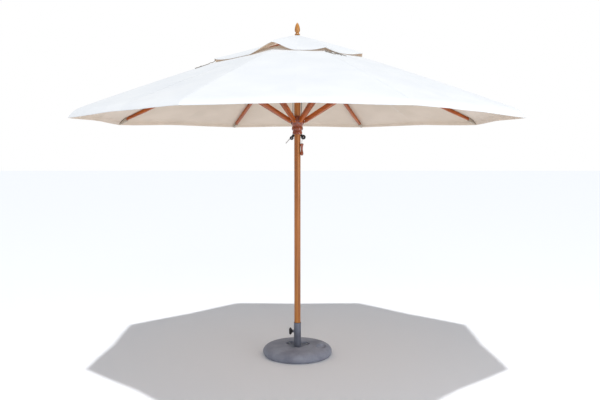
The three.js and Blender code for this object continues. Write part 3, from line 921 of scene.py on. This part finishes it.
def make_stand_tube():
    radius, bore, top = 0.028, 0.0265, 0.255
    foot = 0.0663
    flange = plate(flange_outline(0), foot, foot + 0.006, 1.2 * MM)
    wall = ring([(bore, foot + 0.002), (radius, foot + 0.002), (radius, top), (bore, top)])
    beads = []
    for turn in full_turn(28):
        bead = bmesh.new()
        bmesh.ops.create_icosphere(bead, subdivisions=2, radius=1)
        bead.transform(Matrix.Rotation(turn, 4, "Z") @ Matrix.Translation((radius + 0.0006, 0, foot + 0.0066))
                       @ Matrix.Diagonal((0.0034, 0.0042, 0.0034, 1)))
        beads.append(bead)
    boss = rod(11 * MM, (-0.034, 0, KNOB_HEIGHT), (-0.0272, 0, KNOB_HEIGHT))
    holes = [rod(4.6 * MM, (x, y, 0.05), (x, y, 0.09), 32) for x, y in BOLT_PLACES]
    holes.append(rod(5.4 * MM, (-0.040, 0, KNOB_HEIGHT), (-0.020, 0, KNOB_HEIGHT), 32))
    shell = carved(wall, holes, [flange, boss])
    finished("stand_tube_weldment", to_mesh(merged([shell, *beads]), "tube", 30), [TUBE_PAINT], "base",
             "stand_tube")
    bush = ring([(0.0249, 0.215), (0.0262, 0.215), (0.0262, 0.2553), (0.0285, 0.2553), (0.0285, 0.258),
                 (0.0249, 0.258)])
    finished("tube_bush_ring", to_mesh(bush, "bush"), [BLACK_PLASTIC], "base", "tube_bush")


def hex_bolt():
    """A hexagon head bolt with a chamfered head and a washer, its head's foot at height 0."""
    head = bmesh.new()
    bmesh.ops.create_cone(head, cap_ends=True, segments=6, radius1=7.5 * MM, radius2=7.5 * MM, depth=5.5 * MM)
    top_edges = [edge for edge in head.edges if min(v.co.z for v in edge.verts) > 0]
    bmesh.ops.bevel(head, geom=top_edges, offset=0.9 * MM, segments=2, profile=0.5, affect="EDGES")
    head.transform(Matrix.Translation((0, 0, 2.75 * MM + 0.8 * MM)))
    washer = ring([(4.2 * MM, 0), (9 * MM, 0), (9 * MM, 0.8 * MM), (4.2 * MM, 0.8 * MM)], 48)
    shank = lathed([(0, -0.030), (4 * MM, -0.030), (4 * MM, 1 * MM), (0, 1 * MM)], 32)
    return [head, washer, shank]


def make_bolts():
    for number, (x, y) in enumerate(BOLT_PLACES, 1):
        bolt = merged(hex_bolt())
        bolt.transform(Matrix.Translation((x, y, 0.0726)) @ Matrix.Rotation(0.4 * number, 4, "Z"))
        finished(f"flange_bolt_and_washer_{number}", to_mesh(bolt, "bolt", 25), [ZINC], "base",
                 f"flange_bolt_{number}")


def make_clamp():
    """A six lobed knob on a stud, lying along X."""
    stations = [(-0.0660, 0.30), (-0.0659, 0.50), (-0.0652, 0.66), (-0.0636, 0.80), (-0.0612, 0.91),
                (-0.0585, 0.97), (-0.0555, 1.0), (-0.0525, 0.985), (-0.0498, 0.92), (-0.0474, 0.82),
                (-0.0452, 0.70), (-0.0432, 0.58), (-0.0415, 0.50)]
    segments = 96
    knob = bmesh.new()
    rings = []
    for x, scale in stations:
        ring_verts = []
        for turn in full_turn(segments):
            reach = (0.0255 + 0.003 * math.cos(6 * turn) * scale) * scale
            corner = (x, reach * math.cos(turn), KNOB_HEIGHT + reach * math.sin(turn))
            ring_verts.append(knob.verts.new(corner))
        rings.append(ring_verts)
    for low, high in zip(rings, rings[1:]):
        for k in range(segments):
            knob.faces.new([low[k], low[k - 1], high[k - 1], high[k]])
    knob.faces.new(rings[0])
    knob.faces.new(rings[-1][::-1])
    neck = rod(11 * MM, (-0.052, 0, KNOB_HEIGHT), (-0.036, 0, KNOB_HEIGHT))
    hole = rod(5.3 * MM, (-0.050, 0, KNOB_HEIGHT), (-0.030, 0, KNOB_HEIGHT), 32)
    dish = rod(6 * MM, (-0.070, 0, KNOB_HEIGHT), (-0.0648, 0, KNOB_HEIGHT), 48)
    knob = carved(knob, [hole, dish], [neck])
    finished("clamp_knob_moulding", to_mesh(knob, "knob", 32), [BLACK_PLASTIC], "clamp_knob", "clamp_knob")
    stud = rod(5 * MM, (-0.0495, 0, KNOB_HEIGHT), (-0.025, 0, KNOB_HEIGHT))
    finished("clamp_stud_rod", to_mesh(stud, "stud"), [ZINC], "clamp_stud", "clamp_stud")


# ---- cords and fittings ----
def laid_cord(points, radius, lay=5.0, strands=3, around=15):
    """A twisted cord along a path: its section has one lobe for each strand and turns as it goes."""
    shape = bmesh.new()
    points = [Vector(point) for point in points]
    travelled = 0.0
    rings = []
    side = None
    for k, point in enumerate(points):
        ahead = (points[min(k + 1, len(points) - 1)] - points[max(k - 1, 0)]).normalized()
        if side is None:
            side = ahead.orthogonal().normalized()
        side = (side - ahead * side.dot(ahead)).normalized()
        up = ahead.cross(side)
        travelled += (point - points[max(k - 1, 0)]).length
        twist = travelled / (lay * radius) * 2 * math.pi / strands
        line = []
        for turn in full_turn(around):
            reach = radius * (0.88 + 0.12 * abs(math.cos(strands / 2 * (turn - twist))))
            line.append(shape.verts.new(point + (side * math.cos(turn) + up * math.sin(turn)) * reach))
        rings.append(line)
    skinned(shape, rings)
    shape.faces.new(rings[0][::-1])
    shape.faces.new(rings[-1])
    return shape


def smooth_path(points, steps):
    """Points of a Catmull-Rom curve through the given ones."""
    knots = [Vector(point) for point in points]
    knots = [2 * knots[0] - knots[1]] + knots + [2 * knots[-1] - knots[-2]]
    result = []
    for a, b, c, d in zip(knots, knots[1:], knots[2:], knots[3:]):
        for k in range(steps):
            t = k / steps
            result.append(0.5 * ((2 * b) + (c - a) * t + (2 * a - 5 * b + 4 * c - d) * t * t
                                 + (3 * b - a - 3 * c + d) * t ** 3))
    result.append(knots[-2])
    return result


def knot(place, size=6.5 * MM):
    """An overhand knot, as a short fat coil of cord with a tail."""
    turns = 2.2
    points = []
    for k in range(46):
        t = k / 45
        turn = 2 * math.pi * turns * t
        coil = (size * 0.55 * math.cos(turn), size * 0.55 * math.sin(turn), size * (1.6 * t - 0.8))
        points.append(Vector(coil) + Vector(place))
    return laid_cord(points, size * 0.42, around=10)


ROPE_X = (-0.034, 0.033)
KNOT_HEIGHT = 1.886


def make_lift_rope():
    """The lifting cord runs down both sides of the pole from its cross hole to knots on the runner."""
    for name, x, body_x in (("left", ROPE_X[0], -0.026), ("right", ROPE_X[1], 0.025)):
        bend = [(0, 0, ROPE_CROSSING), (body_x, 0, ROPE_CROSSING), (x, 0, ROPE_CROSSING - 0.008),
                (x, 0, ROPE_CROSSING - 0.03)]
        straight = [(x, 0, 2.342 - (2.342 - KNOT_HEIGHT) * k / 90) for k in range(1, 91)]
        rope = laid_cord(smooth_path(bend, 8) + [Vector(point) for point in straight], 2.5 * MM, around=12)
        piece = finished(f"lift_rope_{name}_run", to_mesh(rope, "rope", 80), [BLACK_ROPE], None, "lift_rope")
        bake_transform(piece)
        end_knot = to_mesh(knot((x, 0, KNOT_HEIGHT - 0.005)), "knot", 80)
        finished(f"lift_rope_{name}_knot", end_knot, [BLACK_ROPE], "runner", None)


def pulley_block(centre, radius, hanger_x):
    """A moulded pulley block under the runner: a round case on a neck, with a grooved sheave's edge below."""
    x, z = centre
    top = 1.7277
    case = rod(radius, (x, -6 * MM, z), (x, 6 * MM, z), 64)
    neck = prism(capsule((hanger_x, top - 0.0095), (x, z), 9.5 * MM), 5.2 * MM, 1 * MM)
    foot = block((13 * MM, 10 * MM, 0.012), (hanger_x, 0, top - 0.006))
    groove = ring([(radius - 4 * MM, -1.6 * MM), (radius + 6 * MM, -3.2 * MM), (radius + 6 * MM, 3.2 * MM),
                   (radius - 4 * MM, 1.6 * MM)], 64)
    groove.transform(Matrix.Translation((x, 0, z)) @ Matrix.Rotation(math.pi / 2, 4, "X"))
    mask = block((4 * radius, 0.02, 2 * radius), (x, 0, z + radius - 0.002))
    return carved(case, [carved(groove, [mask])], [neck, foot])


def make_pulleys():
    for side, centre, radius, hanger_x in (("left", (-0.044, 1.700), 0.015, -0.033),
                                           ("right", (0.046, 1.707), 0.0185, 0.033)):
        block_shape = pulley_block(centre, radius, hanger_x)
        finished(f"pulley_{side}_block", to_mesh(block_shape, "pulley", 32), [BLACK_PLASTIC], "runner",
                 f"pulley_{side}")
        x, z = centre
        end = [(0, 0.0058), (0.0034, 0.0058), (0.0034, 0.0070), (0.0022, 0.0078), (0, 0.0080)]
        axle = merged([lathed(end, 32), lathed([(reach, -y) for reach, y in end[::-1]], 32)])
        axle.transform(Matrix.Translation((x, 0, z)) @ Matrix.Rotation(math.pi / 2, 4, "X"))
        finished(f"pulley_{side}_axle", to_mesh(axle, "axle"), [ZINC], "runner", None)


def make_toggle():
    x, y = 0.0347, -0.0195
    outline = [(0, 1.5650), (0.0030, 1.5652), (0.0062, 1.5664), (0.0090, 1.5690), (0.0110, 1.5730),
               (0.0120, 1.5780), (0.0119, 1.5825), (0.0110, 1.5880), (0.0097, 1.5940), (0.0085, 1.6000),
               (0.0077, 1.6070), (0.0075, 1.6140), (0.0078, 1.6220), (0.0085, 1.6300), (0.0098, 1.6370),
               (0.0115, 1.6440), (0.0127, 1.6490), (0.0130, 1.6520), (0.0126, 1.6548), (0.0110, 1.6565),
               (0.0070, 1.6578), (0.0030, 1.6580), (0, 1.6580)]
    toggle = lathed(outline, 64, (x, y), grain_start=2.0)
    finished("pull_toggle_turning", to_mesh(toggle, "toggle"), [TURNED_WOOD], "toggle", "pull_toggle")
    route = [(x, y, 1.6560), (x, y, 1.668), (0.036, -0.0155, 1.680), (0.0375, -0.0092, 1.691)]
    cord = laid_cord(smooth_path(route, 12), 2.5 * MM)
    finished("toggle_cord_run", to_mesh(cord, "cord", 80), [WHITE_ROPE], "toggle", "toggle_cord")


def make_lock_pin():
    length = 0.042
    pin = lathed([(0, -length), (0.0016, -length), (0.0026, -length + 0.0014), (0.0032, -length + 0.0034),
                  (0.0033, -length + 0.005), (0.0033, 0), (0.0046, 0.0008), (0.0048, 0.0015),
                  (0.0048, 0.0038), (0.0042, 0.0046), (0, 0.0050)], 40)
    pin.transform(Matrix.Translation((-0.0625, 0, 1.690)) @ Matrix.Rotation(0.7, 4, "Y"))
    finished("lock_pin_rod", to_mesh(pin, "pin"), [ZINC], "lock_pin", "lock_pin")


def pin_head_tree(radius, height, material):
    """Geometry Nodes that put a domed rivet head on every point, pointing along that point's normal."""
    tree = bpy.data.node_groups.new("pin_heads", "GeometryNodeTree")
    tree.interface.new_socket("Points", in_out="INPUT", socket_type="NodeSocketGeometry")
    size = tree.interface.new_socket("Head radius", in_out="INPUT", socket_type="NodeSocketFloat")
    size.default_value = radius
    tree.interface.new_socket("Heads", in_out="OUTPUT", socket_type="NodeSocketGeometry")
    entry = tree.nodes.new("NodeGroupInput")
    leave = tree.nodes.new("NodeGroupOutput")
    sphere = tree.nodes.new("GeometryNodeMeshUVSphere")
    sphere.inputs["Segments"].default_value = 20
    sphere.inputs["Rings"].default_value = 10
    flatten = tree.nodes.new("GeometryNodeTransform")
    flatten.inputs["Scale"].default_value = (1, 1, height / radius)
    normal = tree.nodes.new("GeometryNodeInputNormal")
    turn = tree.nodes.new("FunctionNodeAlignRotationToVector")
    turn.axis = "Z"
    place = tree.nodes.new("GeometryNodeInstanceOnPoints")
    realize = tree.nodes.new("GeometryNodeRealizeInstances")
    dress = tree.nodes.new("GeometryNodeSetMaterial")
    dress.inputs["Material"].default_value = material
    link = tree.links.new
    link(entry.outputs["Head radius"], sphere.inputs["Radius"])
    link(sphere.outputs["Mesh"], flatten.inputs["Geometry"])
    link(normal.outputs["Normal"], turn.inputs["Vector"])
    link(entry.outputs["Points"], place.inputs["Points"])
    link(flatten.outputs["Geometry"], place.inputs["Instance"])
    link(turn.outputs["Rotation"], place.inputs["Rotation"])
    link(place.outputs["Instances"], realize.inputs["Geometry"])
    link(realize.outputs["Geometry"], dress.inputs["Geometry"])
    link(dress.outputs["Geometry"], leave.inputs["Heads"])
    return tree


def headed(name, tree, places, number, body):
    """Rivet heads at (x, y, z) places in a rib's frame; each faces away from the rib's middle plane."""
    seeds = bmesh.new()
    for x, y, z in places:
        away = Vector((0, math.copysign(1, y), 0))
        corners = [Vector((x, y, z)) + offset * 1e-5 for offset in
                   (Vector((1, 0, 0)), Vector((0, 0, 1)), Vector((-1, 0, -1)))]
        face = seeds.faces.new([seeds.verts.new(corner) for corner in corners])
        face.normal_update()
        if face.normal.dot(away) < 0:
            face.normal_flip()
    bmesh.ops.transform(seeds, matrix=arm_turn(number), verts=seeds.verts)
    piece = placed(name, as_mesh(seeds, name))
    modifier = piece.modifiers.new("heads", "NODES")
    modifier.node_group = tree
    bpy.context.view_layer.update()
    plain = bpy.data.meshes.new_from_object(piece.evaluated_get(bpy.context.evaluated_depsgraph_get()))
    piece.modifiers.remove(modifier)
    piece.data = plain
    shape = bmesh.new()
    shape.from_mesh(plain)
    bmesh.ops.remove_doubles(shape, verts=shape.verts, dist=5e-5)
    for face in shape.faces:
        face.smooth = True
    shape.to_mesh(plain)
    shape.free()
    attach(piece, body)
    return piece


def repaint(node, material):
    """Gives a CAD node that is shown as it is one material."""
    slots = frame["nodes"][node].data.materials
    slots.clear()
    slots.append(material)


def make_pins():
    tree = pin_head_tree(4.5 * MM, 2.0 * MM, ZINC)
    fold = JOINTS["strut_fold_1"]["pos_m"]
    head_reach = Vector(fold).xy.length
    for number in ARMS:
        foot_places = [(STRUT_FOOT[0], side * 11.2 * MM, STRUT_FOOT[1]) for side in (-1, 1)]
        headed(f"strut_foot_pin_{number}", tree, foot_places, number, f"strut_{number}")
        bracket_places = [(head_reach, side * 13.6 * MM, fold[2]) for side in (-1, 1)]
        rib_pin = head_reach + 0.011
        bracket_places += [(rib_pin, side * 13.6 * MM, rib_middle(rib_pin)) for side in (-1, 1)]
        headed(f"bracket_pins_{number}", tree, bracket_places, number, f"rib_{number}")
        repaint(f"bracket_{number}", ZINC)
    repaint("pole_foot", BLACK_PLASTIC)


# ---- studio ----
def make_world():
    """White to the eye, and a weaker, even sky light on the objects."""
    world = bpy.data.worlds.new("studio")
    bpy.context.scene.world = world
    world.use_nodes = True
    tree = world.node_tree
    sky = tree.nodes["Background"]
    sky.inputs["Color"].default_value = (0.93, 0.965, 1.0, 1)
    sky.inputs["Strength"].default_value = SKY_STRENGTH
    backdrop = add(tree, "ShaderNodeBackground", {"Strength": 1.0, "Color": (1, 1, 1, 1)})
    seen = add(tree, "ShaderNodeLightPath")
    mixed = tree.nodes.new("ShaderNodeMixShader")
    tree.links.new(seen.outputs["Is Camera Ray"], mixed.inputs[0])
    tree.links.new(sky.outputs["Background"], mixed.inputs[1])
    tree.links.new(backdrop.outputs["Background"], mixed.inputs[2])
    tree.links.new(mixed.outputs["Shader"], tree.nodes["World Output"].inputs["Surface"])


SKY_STRENGTH = 0.45
LAMPS = (("overhead_lamp", "SUN", 2.1, (0, -1.35, 9), (0, 0, 0), 0.03),
         ("front_lamp", "AREA", 150, (0.6, -8.5, 4.6), (0, 0, 1.9), 3.0),
         ("side_lamp", "AREA", 38, (3.4, -3.6, 1.25), (0, 0, 0.1), 1.2))


def make_studio():
    size = 60
    floor = bpy.data.meshes.new("floor")
    corners = [(-size, -size, 0), (size, -size, 0), (size, size, 0), (-size, size, 0)]
    floor.from_pydata(corners, [], [(0, 1, 2, 3)])
    floor.materials.append(started("pale_studio_floor", Roughness=0.9, Base_Color=colour("f3f5fa"))[0])
    placed("floor", floor)
    bpy.context.scene.view_settings.view_transform = "Standard"
    make_world()
    for name, kind, energy, place, target, spread in LAMPS:
        light = bpy.data.lights.new(name, kind)
        light.energy = energy
        if kind == "SUN":
            light.angle = spread
        else:
            light.size = spread
        lamp = placed(name, light)
        lamp.location = place
        lamp.rotation_euler = (Vector(target) - Vector(place)).to_track_quat("-Z", "Y").to_euler()


def make_camera():
    """Stands at eye height, level with the canopy's underside, and looks slightly down."""
    camera = bpy.data.cameras.new("camera")
    camera.sensor_width = 36
    camera.lens = 40.28
    eye = placed("camera", camera)
    eye.location = (0.0202, -5.2034, 1.5729)
    eye.rotation_euler = (math.pi / 2 - 0.0676, 0, 0)
    bpy.context.scene.camera = eye


make_camera()
make_studio()
make_base()
make_stand_tube()
make_bolts()
make_clamp()
make_pole()
make_finial()
make_hubs()
make_arms()
make_pins()
make_lift_rope()
make_pulleys()
make_toggle()
make_lock_pin()
make_canopy()
make_cap()
make_tie_strings()
make_pouches()
